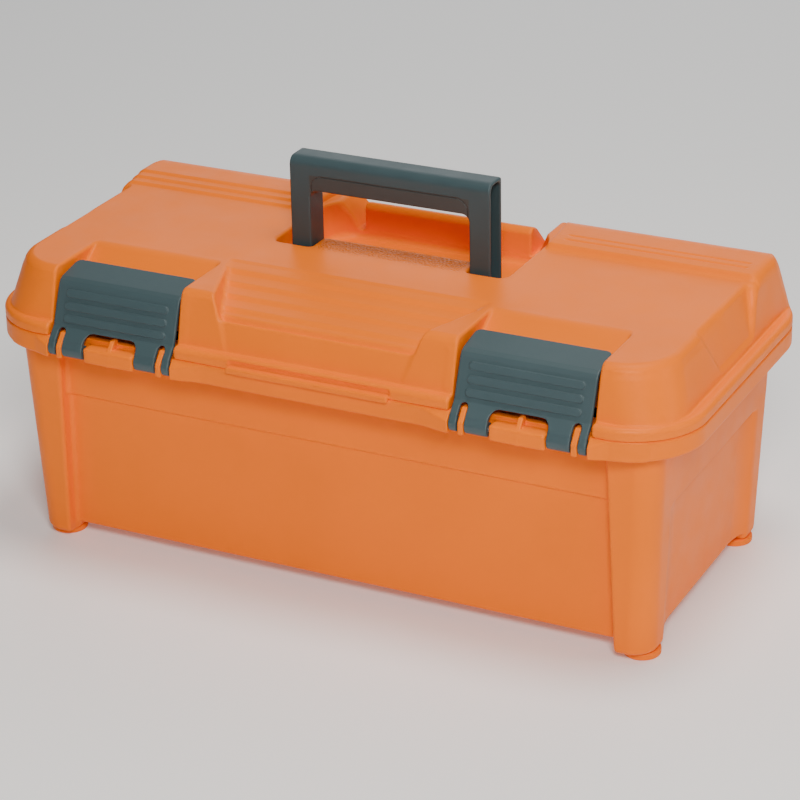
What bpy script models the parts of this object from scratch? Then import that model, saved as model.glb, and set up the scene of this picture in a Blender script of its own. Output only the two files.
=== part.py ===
"""Plastic toolbox with a lift-out tray, in metres, +Z up.

The origin is at the centre of the footprint, on the ground. +X runs along the length and the latches face -Y.
"""
import math

import bmesh
import bpy
from mathutils import Matrix, Vector

# ---- driving dimensions, in metres ----
GAP = 0.0003                      # clearance between pieces that touch
WALL = 0.003                      # wall of the tub and the lid
BEYOND = 0.010                    # how far a cutter runs past the surface it cuts

# tub: half sizes of the corner posts' outer faces at one height, and their draft
BODY_HALF_X = 0.2093
BODY_HALF_Y = 0.0970
BODY_REFERENCE_Z = 0.0154
DRAFT = 0.0368
BODY_CORNER = 0.015
POST_LOW_Z = 0.0050
FLOOR_LOW_Z = 0.0090
FLOOR_TOP_Z = 0.0120
POST_INNER_X = 0.1845             # where the long panels end
PANEL_LOW_Y = 0.0874              # long panel: face at the floor, at the band's lower edge, then the band
PANEL_HIGH_Y = 0.0900
BAND_LOW_Z = 0.1025
BAND_LOW_Y = 0.0918
BAND_HIGH_Y = 0.0936
END_PANEL_LOW_X = 0.2040
END_PANEL_HIGH_X = 0.2072
END_PANEL_TOP_Z = 0.0970
END_PANEL_HALF_Y = 0.0660
CAVITY_LOW = (0.2005, 0.0844)
CAVITY_HIGH = (0.2060, 0.0888)
CAVITY_CORNER = 0.012

# rim of the tub, and the parting plane between the tub and the lid
RIM_HALF = (0.2310, 0.1155)
RIM_CORNER = 0.0455
RIM_LOW_Z = 0.1390
RIM_TOP_Z = 0.1512
LID_LOW_Z = RIM_TOP_Z + GAP

# ledges that carry the tray
LEDGE_INNER_X = 0.1880
LEDGE_HALF_Y = 0.0500
LEDGE_LOW_Z = 0.0970
LEDGE_TOP_Z = 0.1040

# feet
FOOT_X = 0.1980
FOOT_Y = 0.0788
FOOT_RADIUS = 0.0115

# lid
LID_BASE_HALF = (0.2235, 0.1090)
LID_BASE_Z = 0.1600
LID_TOP_X = 0.2145
LID_TOP_FRONT_Y = -0.1015
LID_TOP_REAR_Y = 0.0970
LID_TOP_Z = 0.1915
LID_CORNER = 0.032
LID_TOP_EDGE = 0.005
LID_INNER_TOP_Z = 0.1885
LID_INNER_TOP_X = 0.2070
LID_INNER_FRONT_Y = -0.0980
LID_INNER_REAR_Y = 0.0840
LIP_ROOF_Z = 0.1575
RIDGE_INNER_X = 0.0790
RIDGE_OUTER_X = 0.2095
RIDGE_FRONT_Y = 0.0440
RIDGE_TOP_Z = 0.1960
END_DENT_FRONT_Y = -0.0400
END_DENT_REAR_Y = 0.0440
CENTRE_HALF_X = 0.0625
THUMB_BAR_HALF_X = 0.0533
THUMB_BAR_Y = -0.1170
THUMB_BAR_TOP_Z = 0.1560

# recess for the folded handle, with the platform between the handle's legs
RECESS_HALF_X = 0.0790
RECESS_FRONT_Y = -0.0090
RECESS_REAR_Y = 0.0760
RECESS_FLOOR_Z = 0.1660
PLATFORM_HALF_X = 0.0525
PLATFORM_REAR_Y = 0.0105
PLATFORM_HOLLOW_X = 0.0420
NOTCH_INNER_X = 0.0580
NOTCH_OUTER_X = 0.0800
NOTCH_FRONT_Y = 0.0700
NOTCH_FLOOR_Z = 0.1760

# carrying handle
HANDLE_HALF_X = 0.0674
HANDLE_LEG = 0.0136
HANDLE_HALF_DEPTH = 0.0090
HANDLE_TOP_Z = 0.2480
GRIP_LOW_Z = 0.2268
HANDLE_AXIS_Y = 0.0030
HANDLE_AXIS_Z = 0.1780
HANDLE_WALL = 0.0025
HANDLE_CORNER = 0.0070
HANDLE_PIN_RADIUS = 0.0025
HANDLE_PIN_INNER_X = 0.0440

# latches: X places are measured from the latch's middle
LATCH_X = 0.1350
LATCH_HALF_X = 0.0425
LATCH_SLOT_INNER_X = 0.0325
LATCH_SLOT_OUTER_X = 0.0375
LATCH_SLOT_TOP_Z = 0.1570
LATCH_WINDOW_HALF_X = 0.0180
LATCH_WINDOW_TOP_Z = 0.1555
LATCH_AXIS_Y = -0.1153
LATCH_AXIS_Z = 0.1445
KNUCKLE_RADIUS = 0.0045
PIN_RADIUS = 0.0015
SIDE_GAP = 0.0005                 # play beside each knuckle
POCKET_HALF_X = 0.0440
POCKET_BACK_Y = -0.0550
POCKET_WALL_Y = -0.0790
POCKET_FOOT_Z = 0.1764
LATCH_BAY_Y = -0.1095             # back wall of the bay in the rim that the latch turns in

# lid hinges
HINGE_X = 0.1500
HINGE_AXIS_Y = 0.1153
HINGE_AXIS_Z = 0.1515
HINGE_INNER = 0.0140
HINGE_OUTER = 0.0260
HINGE_CLEAR_RADIUS = 0.0050

# tray
TRAY_LOW_Z = LEDGE_TOP_Z + GAP
TRAY_TOP_Z = 0.1400
TRAY_LOW = (0.1990, 0.0755)
TRAY_HIGH = (0.2010, 0.0775)
TRAY_CORNER = 0.010
TRAY_WALL = 0.002
DIVIDER_XS = (-0.135, -0.070, 0.070, 0.135)
DIVIDER_THICK = 0.0016
DIVIDER_HALF_Y = 0.0728
DIVIDER_TOP_Z = 0.1360
RIB = 0.0015
TRAY_GRIP_HALF_X = 0.0685
TRAY_GRIP_THICK = 0.003
TRAY_GRIP_TOP_Z = 0.1570
TRAY_HOLE_HALF_X = 0.0450
TRAY_HOLE_LOW_Z = 0.1280
TRAY_HOLE_TOP_Z = 0.1500

ROUND = 16                        # sides of a small round piece
SIDES = (("left", -1), ("right", 1))
ENDS = (("front", -1), ("rear", 1))

ORANGE = (0.76, 0.21, 0.035, 1.0)
SLATE = (0.055, 0.095, 0.110, 1.0)
STEEL = (0.55, 0.56, 0.58, 1.0)
CHARCOAL = (0.035, 0.040, 0.045, 1.0)


# ---- helpers ----
def clear_scene():
    for old in list(bpy.data.objects):
        bpy.data.objects.remove(old, do_unlink=True)


def new_collection(name):
    group = bpy.data.collections.new(name)
    bpy.context.scene.collection.children.link(group)
    return group


def as_object(name, shape):
    """Turn a bmesh into an object in the cutters; finish() moves it to the parts."""
    bmesh.ops.recalc_face_normals(shape, faces=shape.faces)
    mesh = bpy.data.meshes.new(name)
    shape.to_mesh(mesh)
    shape.free()
    piece = bpy.data.objects.new(name, mesh)
    CUTTERS.objects.link(piece)
    piece.hide_render = True
    piece.display_type = "WIRE"
    return piece


def box(name, low, high):
    low, high = Vector(low), Vector(high)
    shape = bmesh.new()
    size = Matrix.Diagonal((*(high - low), 1.0))
    bmesh.ops.create_cube(shape, size=1.0, matrix=Matrix.Translation((low + high) / 2) @ size)
    return as_object(name, shape)


def frustum(name, low_half, high_half, low_z, high_z, corner, rear=None, top_edge=0.0):
    """A box with rounded upright edges; rear gives the +Y half sizes where they differ from the front's."""
    shape = bmesh.new()
    bmesh.ops.create_cube(shape, size=2.0)
    low_rear, high_rear = rear or (low_half[1], high_half[1])
    upright = [edge for edge in shape.edges if abs(edge.verts[0].co.z - edge.verts[1].co.z) > 1.0]
    for vert in shape.verts:
        half_x, half_y = high_half if vert.co.z > 0 else low_half
        if vert.co.y > 0:
            half_y = high_rear if vert.co.z > 0 else low_rear
        height = high_z if vert.co.z > 0 else low_z
        vert.co = (vert.co.x * half_x, vert.co.y * half_y, height)
    bmesh.ops.bevel(shape, geom=upright, offset=corner, segments=6, profile=0.5, affect="EDGES")
    if top_edge:
        top = [edge for edge in shape.edges if all(vert.co.z > high_z - GAP for vert in edge.verts)]
        bmesh.ops.bevel(shape, geom=top, offset=top_edge, segments=2, profile=0.5, affect="EDGES")
    return as_object(name, shape)


ALONG_X = Matrix(((0, 0, 1, 0), (1, 0, 0, 0), (0, 1, 0, 0), (0, 0, 0, 1)))    # outline in Y and Z
ALONG_Y = Matrix(((1, 0, 0, 0), (0, 0, -1, 0), (0, 1, 0, 0), (0, 0, 0, 1)))   # outline in X and Z


def prism(name, points, low, high, frame=ALONG_X):
    """A flat outline, drawn as a filled 2D curve, stretched from low to high along the frame's axis."""
    curve = bpy.data.curves.new(name, "CURVE")
    curve.dimensions = "2D"
    curve.fill_mode = "BOTH"
    curve.extrude = (high - low) / 2
    spline = curve.splines.new("POLY")
    spline.points.add(len(points) - 1)
    for point, place in zip(spline.points, points):
        point.co = (*place, 0.0, 1.0)
    spline.use_cyclic_u = True
    drawn = bpy.data.objects.new(name, curve)
    CUTTERS.objects.link(drawn)
    mesh = bpy.data.meshes.new_from_object(drawn.evaluated_get(bpy.context.evaluated_depsgraph_get()))
    bpy.data.objects.remove(drawn)
    shape = bmesh.new()
    shape.from_mesh(mesh)
    bpy.data.meshes.remove(mesh)
    bmesh.ops.remove_doubles(shape, verts=shape.verts, dist=1e-6)
    middle = (low + high) / 2
    shift = (middle, 0, 0) if frame is ALONG_X else (0, middle, 0)
    bmesh.ops.transform(shape, matrix=Matrix.Translation(shift) @ frame, verts=shape.verts)
    return as_object(name, shape)


def rod(name, y, z, radius, low_x, high_x, sides=ROUND):
    shape = bmesh.new()
    turn = Matrix.Translation(((low_x + high_x) / 2, y, z)) @ Matrix.Rotation(math.pi / 2, 4, "Y")
    bmesh.ops.create_cone(shape, cap_ends=True, segments=sides, radius1=radius, radius2=radius,
                          depth=high_x - low_x, matrix=turn)
    return as_object(name, shape)


def boolean(piece, other, operation):
    modifier = piece.modifiers.new(other.name, "BOOLEAN")
    modifier.operation = operation
    modifier.solver = "EXACT"
    modifier.object = other


def cut(piece, *others):
    for other in others:
        boolean(piece, other, "DIFFERENCE")


def join(piece, *others):
    for other in others:
        boolean(piece, other, "UNION")


def plastic(name, colour, roughness, metallic=0.0):
    material = bpy.data.materials.new(name)
    material.use_nodes = True
    shader = material.node_tree.nodes["Principled BSDF"]
    shader.inputs["Base Color"].default_value = colour
    shader.inputs["Roughness"].default_value = roughness
    shader.inputs["Metallic"].default_value = metallic
    return material


def finish(piece, colour, roughness=0.45, metallic=0.0, origin=(0.0, 0.0, 0.0)):
    """Show the piece as a part, with its own material and its origin on its joint."""
    CUTTERS.objects.unlink(piece)
    PARTS.objects.link(piece)
    piece.hide_render = False
    piece.display_type = "TEXTURED"
    piece.data.transform(Matrix.Translation(-Vector(origin)))
    piece.location = origin
    piece.data.materials.append(plastic(piece.name + "_finish", colour, roughness, metallic))
    return piece


def body_half(z):
    grow = DRAFT * (z - BODY_REFERENCE_Z)
    return BODY_HALF_X + grow, BODY_HALF_Y + grow


def mirrored(points, side):
    """An outline with its first coordinate turned to the given side."""
    return [(side * first, second) for first, second in points]


def span(side, inner, outer):
    """Low and high X of a range that is given outward from the middle plane."""
    return sorted((side * inner, side * outer))


# ---- tub ----
def tub_core():
    """The drafted box with its corner posts, its recessed panels and its raised floor."""
    core = frustum("tub_core", body_half(POST_LOW_Z), body_half(RIM_TOP_Z), POST_LOW_Z, RIM_TOP_Z, BODY_CORNER)
    under = POST_LOW_Z - BEYOND
    past_y = BODY_HALF_Y + 2 * BEYOND
    past_x = BODY_HALF_X + 2 * BEYOND
    roof = RIM_TOP_Z - WALL
    long_panel = [(PANEL_LOW_Y, under), (PANEL_HIGH_Y, BAND_LOW_Z), (BAND_LOW_Y, BAND_LOW_Z + WALL / 2),
                  (BAND_HIGH_Y, roof), (past_y, roof), (past_y, under)]
    end_panel = [(END_PANEL_LOW_X, under), (END_PANEL_HIGH_X, END_PANEL_TOP_Z),
                 (past_x, END_PANEL_TOP_Z + BEYOND), (past_x, under)]
    for name, side in ENDS:
        cut(core, prism("panel_" + name, mirrored(long_panel, side), -POST_INNER_X, POST_INNER_X))
    for name, side in SIDES:
        cut(core, prism("end_panel_" + name, mirrored(end_panel, side),
                        -END_PANEL_HALF_Y, END_PANEL_HALF_Y, ALONG_Y))
    cut(core,
        box("under_floor_long", (-POST_INNER_X, -past_y, under), (POST_INNER_X, past_y, FLOOR_LOW_Z)),
        box("under_floor_cross", (-past_x, -END_PANEL_HALF_Y, under), (past_x, END_PANEL_HALF_Y, FLOOR_LOW_Z)))
    return core


def latch_lugs(name, side):
    """The bar and the ribs of the tub that stand between the latch's arms and hold its pin."""
    middle = side * LATCH_X
    front = LATCH_AXIS_Y - 0.0039
    back = LATCH_BAY_Y + WALL / 2
    low = RIM_LOW_Z + GAP
    bar = [(back, low), (front + 0.002, low), (front, low + 0.002), (front, 0.1470), (front + 0.002, 0.1490),
           (back, 0.1490)]
    rib = [(back, low), (front + 0.002, low), (front, low + 0.002), (front, 0.1470), (-0.1125, 0.1545),
           (back, 0.1545)]
    wall = box("bay_wall_" + name,
               (middle - POCKET_HALF_X - WALL, LATCH_BAY_Y, RIM_LOW_Z),
               (middle + POCKET_HALF_X + WALL, LATCH_BAY_Y + WALL, RIM_TOP_Z - WALL / 2))
    half = LATCH_WINDOW_HALF_X - SIDE_GAP
    join(wall, prism("bar_" + name, bar, middle - half, middle + half))
    places = {"inner": -1, "outer": 1}
    for place, turn in places.items():
        low_x, high_x = span(turn, LATCH_SLOT_INNER_X + SIDE_GAP, LATCH_SLOT_OUTER_X - SIDE_GAP)
        join(wall, prism("rib_" + place + "_" + name, rib, middle + low_x, middle + high_x))
    join(wall, prism("rib_middle_" + name, rib, middle - RIB, middle + RIB))
    catch = box("catch_" + name, (middle - half, -0.1030, RIM_TOP_Z - WALL / 2),
                (middle + half, -0.0900, 0.1570))
    return wall, catch


def make_tub():
    tub = frustum("tub", RIM_HALF, RIM_HALF, RIM_LOW_Z, RIM_TOP_Z, RIM_CORNER)
    under_rim = [half - WALL for half in RIM_HALF]
    cut(tub, frustum("rim_hollow", under_rim, under_rim, RIM_LOW_Z - BEYOND, RIM_TOP_Z - WALL, RIM_CORNER - WALL))
    join(tub, tub_core())
    cut(tub, frustum("tub_cavity", CAVITY_LOW, CAVITY_HIGH, FLOOR_TOP_Z, RIM_TOP_Z + GAP, CAVITY_CORNER))
    for name, side in SIDES:
        middle = side * LATCH_X
        low_x, high_x = span(side, LEDGE_INNER_X, CAVITY_HIGH[0])
        join(tub, box("ledge_" + name, (low_x, -LEDGE_HALF_Y, LEDGE_LOW_Z), (high_x, LEDGE_HALF_Y, LEDGE_TOP_Z)))
        cut(tub, box("latch_bay_" + name, (middle - LATCH_HALF_X - SIDE_GAP, -RIM_HALF[1] - BEYOND, RIM_LOW_Z - GAP),
                     (middle + LATCH_HALF_X + SIDE_GAP, LATCH_BAY_Y, RIM_TOP_Z + GAP)))
        join(tub, *latch_lugs(name, side))
        cut(tub, rod("latch_pin_hole_" + name, LATCH_AXIS_Y, LATCH_AXIS_Z, PIN_RADIUS + GAP,
                     middle - LATCH_HALF_X, middle + LATCH_HALF_X))
        hinge = side * HINGE_X
        for turn in (-1, 1):
            low_x, high_x = span(turn, HINGE_INNER, HINGE_OUTER)
            join(tub, rod(f"tub_knuckle_{name}_{turn}", HINGE_AXIS_Y, HINGE_AXIS_Z, KNUCKLE_RADIUS,
                          hinge + low_x, hinge + high_x))
        cut(tub, rod("lid_knuckle_room_" + name, HINGE_AXIS_Y, HINGE_AXIS_Z, HINGE_CLEAR_RADIUS,
                     hinge - HINGE_INNER, hinge + HINGE_INNER))
        cut(tub, rod("tub_hinge_hole_" + name, HINGE_AXIS_Y, HINGE_AXIS_Z, PIN_RADIUS + GAP,
                     hinge - HINGE_OUTER - SIDE_GAP, hinge + HINGE_OUTER + SIDE_GAP))
    return finish(tub, ORANGE)


def make_feet():
    for end, forward in ENDS:
        for side, across in SIDES:
            shape = bmesh.new()
            height = POST_LOW_Z - GAP
            place = Matrix.Translation((across * FOOT_X, forward * FOOT_Y, height / 2))
            bmesh.ops.create_cone(shape, cap_ends=True, segments=2 * ROUND, radius1=FOOT_RADIUS - RIB / 2,
                                  radius2=FOOT_RADIUS, depth=height, matrix=place)
            finish(as_object(f"foot_{end}_{side}", shape), ORANGE, 0.5)


# ---- lid ----
def pocket_outline(skin):
    """Latch pocket: a slope down from the top, then an upright wall; skin thickens it inwards."""
    top = LID_TOP_Z + BEYOND
    past = -RIM_HALF[1] - BEYOND
    return [(POCKET_BACK_Y + skin, top), (POCKET_BACK_Y + skin, LID_TOP_Z - skin / 2),
            (POCKET_WALL_Y + skin, POCKET_FOOT_Z - skin / 2), (POCKET_WALL_Y + skin, LID_LOW_Z - BEYOND),
            (past, LID_LOW_Z - BEYOND), (past, top)]


def centre_outline(skin):
    """The sloped middle of the lid's front, between the two corner blocks."""
    top = LID_TOP_Z + BEYOND
    past = -RIM_HALF[1] - BEYOND
    return [(-0.0490, top), (-0.0490, LID_TOP_Z - skin), (-0.1034 + skin, 0.1764 - skin),
            (-0.1085 + skin, 0.1620), (past, 0.1620), (past, top)]


def recess_block(name, skin):
    """The handle's recess with its two notches to the back; skin thickens it."""
    top = RIDGE_TOP_Z + BEYOND
    block = box(name, (-RECESS_HALF_X - skin, RECESS_FRONT_Y - skin, RECESS_FLOOR_Z - skin),
                (RECESS_HALF_X + skin, RECESS_REAR_Y + skin, top))
    for side_name, side in SIDES:
        low_x, high_x = span(side, NOTCH_INNER_X - skin, NOTCH_OUTER_X + skin)
        join(block, box(f"{name}_notch_{side_name}", (low_x, NOTCH_FRONT_Y, NOTCH_FLOOR_Z - skin),
                        (high_x, RIM_HALF[1], top)))
    return block


def lid_cavity():
    """Everything inside the lid that isn't wall."""
    roof_half = (LID_INNER_TOP_X, -LID_INNER_FRONT_Y)
    base_half = [half - WALL for half in LID_BASE_HALF]
    cavity = frustum("lid_cavity", base_half, roof_half, LIP_ROOF_Z - GAP, LID_INNER_TOP_Z, LID_CORNER - WALL,
                     rear=(base_half[1], LID_INNER_REAR_Y))
    cut(cavity, recess_block("recess_skin", WALL),
        prism("centre_skin", centre_outline(WALL), -CENTRE_HALF_X - WALL, CENTRE_HALF_X + WALL))
    lip_half = [half - WALL for half in RIM_HALF]
    join(cavity, frustum("lip_cavity", lip_half, lip_half, LID_LOW_Z - BEYOND, LIP_ROOF_Z, RIM_CORNER - WALL))
    for name, side in SIDES:
        middle = side * LATCH_X
        cut(cavity, prism("pocket_skin_" + name, pocket_outline(WALL),
                          middle - POCKET_HALF_X - WALL, middle + POCKET_HALF_X + WALL))
    join(cavity, box("platform_hollow", (-PLATFORM_HOLLOW_X, RECESS_FRONT_Y, LID_LOW_Z - BEYOND),
                     (PLATFORM_HOLLOW_X, PLATFORM_REAR_Y - WALL, LID_INNER_TOP_Z)))
    return cavity


def make_lid():
    lid = frustum("lid", RIM_HALF, RIM_HALF, LID_LOW_Z, LID_BASE_Z, RIM_CORNER)
    join(lid, frustum("lid_shell", LID_BASE_HALF, (LID_TOP_X, -LID_TOP_FRONT_Y), LID_BASE_Z - WALL / 2, LID_TOP_Z,
                      LID_CORNER, rear=(LID_BASE_HALF[1], LID_TOP_REAR_Y), top_edge=LID_TOP_EDGE))
    join(lid, box("thumb_bar", (-THUMB_BAR_HALF_X, THUMB_BAR_Y, LID_LOW_Z),
                  (THUMB_BAR_HALF_X, -RIM_HALF[1] + WALL / 2, THUMB_BAR_TOP_Z)))
    for name, side in SIDES:
        low_x, high_x = span(side, RIDGE_INNER_X, RIDGE_OUTER_X)
        join(lid, box("ridge_" + name, (low_x, RIDGE_FRONT_Y, LID_INNER_TOP_Z),
                      (high_x, LID_TOP_REAR_Y - LID_TOP_EDGE, RIDGE_TOP_Z)))
    past = RIM_HALF[1] + BEYOND
    top = RIDGE_TOP_Z + BEYOND
    rounded_back = [(0.0760, RIDGE_TOP_Z + GAP), (0.0895, LID_TOP_Z), (0.0985, 0.1800), (past, 0.1800), (past, top),
                    (0.0760, top)]
    half_x = RIM_HALF[0]
    cut(lid, prism("rounded_back", rounded_back, -half_x, half_x),
        prism("centre_slope", centre_outline(0.0), -CENTRE_HALF_X, CENTRE_HALF_X), lid_cavity())
    recess = recess_block("handle_recess", 0.0)
    cut(recess, box("platform", (-PLATFORM_HALF_X, RECESS_FRONT_Y - BEYOND, RECESS_FLOOR_Z - BEYOND),
                    (PLATFORM_HALF_X, PLATFORM_REAR_Y, top + BEYOND)))
    cut(lid, recess)
    end_dent = [(0.2215, 0.1640), (0.2085, LID_TOP_Z), (0.2085, top), (0.2400, top), (0.2400, 0.1640)]
    for name, side in SIDES:
        middle = side * LATCH_X
        cut(lid, prism("latch_pocket_" + name, pocket_outline(0.0), middle - POCKET_HALF_X, middle + POCKET_HALF_X))
        cut(lid, prism("end_dent_" + name, mirrored(end_dent, side), END_DENT_FRONT_Y, END_DENT_REAR_Y, ALONG_Y))
        hinge = side * HINGE_X
        join(lid, rod("lid_knuckle_" + name, HINGE_AXIS_Y, HINGE_AXIS_Z, KNUCKLE_RADIUS,
                      hinge - HINGE_INNER + SIDE_GAP, hinge + HINGE_INNER - SIDE_GAP))
        for turn in (-1, 1):
            low_x, high_x = span(turn, HINGE_INNER - SIDE_GAP, HINGE_OUTER + SIDE_GAP)
            cut(lid, rod(f"tub_knuckle_room_{name}_{turn}", HINGE_AXIS_Y, HINGE_AXIS_Z, HINGE_CLEAR_RADIUS,
                         hinge + low_x, hinge + high_x))
        cut(lid, rod("lid_hinge_hole_" + name, HINGE_AXIS_Y, HINGE_AXIS_Z, PIN_RADIUS + GAP,
                     hinge - HINGE_OUTER, hinge + HINGE_OUTER))
        low_x, high_x = span(side, HANDLE_PIN_INNER_X - GAP, HANDLE_HALF_X)
        cut(lid, rod("handle_pin_hole_" + name, HANDLE_AXIS_Y, HANDLE_AXIS_Z, HANDLE_PIN_RADIUS + GAP, low_x, high_x))
    return finish(lid, ORANGE, origin=(0.0, HINGE_AXIS_Y, HINGE_AXIS_Z))


def make_hinge_pins():
    for name, side in SIDES:
        hinge = side * HINGE_X
        pin = rod("hinge_pin_" + name, HINGE_AXIS_Y, HINGE_AXIS_Z, PIN_RADIUS, hinge - HINGE_OUTER, hinge + HINGE_OUTER)
        finish(pin, STEEL, 0.3, 1.0)


# ---- latches ----
def make_latches():
    plate = [(-0.1195, 0.1462), (-0.1113, LATCH_SLOT_TOP_Z), (-0.1007, 0.1845), (-0.0787, 0.1890),
             (-0.0783, 0.1864), (-0.0989, 0.1822), (-0.1089, 0.1561), (-0.1165, 0.1460)]
    for name, side in SIDES:
        middle = side * LATCH_X
        low_x, high_x = middle - LATCH_HALF_X, middle + LATCH_HALF_X
        latch = prism("latch_" + name, plate, low_x, high_x)
        join(latch, rod("knuckle_" + name, LATCH_AXIS_Y, LATCH_AXIS_Z, KNUCKLE_RADIUS, low_x, high_x))
        front, back = LATCH_AXIS_Y - BEYOND, LATCH_AXIS_Y + BEYOND
        low = LATCH_AXIS_Z - BEYOND
        for turn in (-1, 1):
            slot_low, slot_high = span(turn, LATCH_SLOT_INNER_X, LATCH_SLOT_OUTER_X)
            cut(latch, box(f"slot_{name}_{turn}", (middle + slot_low, front, low),
                           (middle + slot_high, back, LATCH_SLOT_TOP_Z)))
        cut(latch, box("window_" + name, (middle - LATCH_WINDOW_HALF_X, front, low),
                       (middle + LATCH_WINDOW_HALF_X, back, LATCH_WINDOW_TOP_Z)),
            rod("knuckle_hole_" + name, LATCH_AXIS_Y, LATCH_AXIS_Z, PIN_RADIUS + GAP, low_x - GAP, high_x + GAP))
        finish(latch, SLATE, 0.5, origin=(middle, LATCH_AXIS_Y, LATCH_AXIS_Z))
        pin = rod("latch_pin_" + name, LATCH_AXIS_Y, LATCH_AXIS_Z, PIN_RADIUS, low_x + GAP, high_x - GAP)
        finish(pin, STEEL, 0.3, 1.0)


# ---- carrying handle ----
def make_handle():
    inner = HANDLE_HALF_X - HANDLE_LEG
    front, back = HANDLE_AXIS_Y - HANDLE_HALF_DEPTH, HANDLE_AXIS_Y + HANDLE_HALF_DEPTH
    handle = box("handle", (-HANDLE_HALF_X, front, HANDLE_AXIS_Z), (HANDLE_HALF_X, back, HANDLE_TOP_Z))
    rounded = bmesh.new()
    rounded.from_mesh(handle.data)
    top = [edge for edge in rounded.edges if all(vert.co.z > GRIP_LOW_Z for vert in edge.verts)]
    bmesh.ops.bevel(rounded, geom=top, offset=HANDLE_CORNER, segments=4, profile=0.5, affect="EDGES")
    rounded.to_mesh(handle.data)
    rounded.free()
    join(handle, rod("leg_bottoms", HANDLE_AXIS_Y, HANDLE_AXIS_Z, HANDLE_HALF_DEPTH, -HANDLE_HALF_X, HANDLE_HALF_X,
                     2 * ROUND))
    cut(handle, box("finger_gap", (-inner, front - BEYOND, RECESS_FLOOR_Z - BEYOND), (inner, back + BEYOND, GRIP_LOW_Z)))
    for name, side in SIDES:
        low_x, high_x = span(side, inner + HANDLE_WALL, HANDLE_HALF_X + BEYOND)
        channel = box("channel_" + name, (low_x, front + HANDLE_WALL, HANDLE_AXIS_Z + HANDLE_HALF_DEPTH),
                      (high_x, back - HANDLE_WALL, HANDLE_TOP_Z - 2 * HANDLE_WALL))
        cut(handle, channel)
        pin_low, pin_high = span(side, HANDLE_PIN_INNER_X, HANDLE_HALF_X - HANDLE_WALL)
        cut(handle, rod("leg_hole_" + name, HANDLE_AXIS_Y, HANDLE_AXIS_Z, HANDLE_PIN_RADIUS + GAP,
                        *span(side, HANDLE_PIN_INNER_X, HANDLE_HALF_X - HANDLE_WALL + GAP)))
        pin = rod("handle_pin_" + name, HANDLE_AXIS_Y, HANDLE_AXIS_Z, HANDLE_PIN_RADIUS, pin_low, pin_high)
        finish(pin, STEEL, 0.3, 1.0)
    return finish(handle, SLATE, 0.5, origin=(0.0, HANDLE_AXIS_Y, HANDLE_AXIS_Z))


# ---- tray ----
def make_tray():
    tray = frustum("tray", TRAY_LOW, TRAY_HIGH, TRAY_LOW_Z, TRAY_TOP_Z, TRAY_CORNER)
    low_inner = [half - TRAY_WALL for half in TRAY_LOW]
    high_inner = [half - TRAY_WALL for half in TRAY_HIGH]
    cut(tray, frustum("tray_cavity", low_inner, high_inner, TRAY_LOW_Z + TRAY_WALL, TRAY_TOP_Z + GAP,
                      TRAY_CORNER - TRAY_WALL))
    beside = DIVIDER_THICK / 2 + GAP
    floor = TRAY_LOW_Z + TRAY_WALL
    for number, middle in enumerate(DIVIDER_XS, 1):
        for end, forward in ENDS:
            for turn in (-1, 1):
                low_x, high_x = span(turn, beside, beside + RIB)
                low_y, high_y = span(forward, DIVIDER_HALF_Y - 2 * RIB, low_inner[1] + RIB)
                join(tray, box(f"guide_{number}_{end}_{turn}", (middle + low_x, low_y, floor - GAP),
                               (middle + high_x, high_y, DIVIDER_TOP_Z)))
        divider = box(f"tray_divider_{number}", (middle - DIVIDER_THICK / 2, -DIVIDER_HALF_Y, floor + GAP),
                      (middle + DIVIDER_THICK / 2, DIVIDER_HALF_Y, DIVIDER_TOP_Z))
        finish(divider, CHARCOAL, 0.5)
    finish(tray, CHARCOAL, 0.5)
    half = TRAY_GRIP_THICK / 2
    grip = box("tray_handle", (-TRAY_GRIP_HALF_X, -half, floor + GAP), (TRAY_GRIP_HALF_X, half, TRAY_GRIP_TOP_Z))
    cut(grip, box("hand_hole", (-TRAY_HOLE_HALF_X, -half - BEYOND, TRAY_HOLE_LOW_Z),
                  (TRAY_HOLE_HALF_X, half + BEYOND, TRAY_HOLE_TOP_Z)))
    finish(grip, CHARCOAL, 0.5)


clear_scene()
PARTS = new_collection("toolbox_with_tray")
CUTTERS = new_collection("cutters")
make_tub()
make_feet()
make_lid()
make_hinge_pins()
make_latches()
make_handle()
make_tray()
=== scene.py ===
"""The looks of the toolbox with tray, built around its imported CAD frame.

Every moulded piece is a distance field in millimetres, skinned into a mesh, so that its edges and hollows
come out rounded as moulded plastic does. Lengths below are millimetres unless a name says otherwise.
"""

import math

import bpy
import numpy as np
from mathutils import Matrix, Vector


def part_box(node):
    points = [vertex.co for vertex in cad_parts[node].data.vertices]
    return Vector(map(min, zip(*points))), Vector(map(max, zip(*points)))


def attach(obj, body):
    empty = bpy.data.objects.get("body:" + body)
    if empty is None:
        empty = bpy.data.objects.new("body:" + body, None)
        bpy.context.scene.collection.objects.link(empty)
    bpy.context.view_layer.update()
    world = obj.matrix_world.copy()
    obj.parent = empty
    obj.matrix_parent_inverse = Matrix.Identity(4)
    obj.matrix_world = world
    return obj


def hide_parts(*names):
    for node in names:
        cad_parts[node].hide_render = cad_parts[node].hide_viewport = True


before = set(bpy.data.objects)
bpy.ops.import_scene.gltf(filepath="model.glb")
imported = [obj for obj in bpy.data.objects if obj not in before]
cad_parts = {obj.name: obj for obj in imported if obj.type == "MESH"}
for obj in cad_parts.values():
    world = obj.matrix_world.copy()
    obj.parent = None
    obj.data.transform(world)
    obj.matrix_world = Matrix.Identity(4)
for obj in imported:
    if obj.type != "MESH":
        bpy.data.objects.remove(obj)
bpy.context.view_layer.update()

MM = 0.001


# ---- places read from the frame ----
def span_mm(node):
    """Lowest and highest corner of a CAD node, in millimetres."""
    low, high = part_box(node)
    return np.array(low) / MM, np.array(high) / MM


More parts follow.
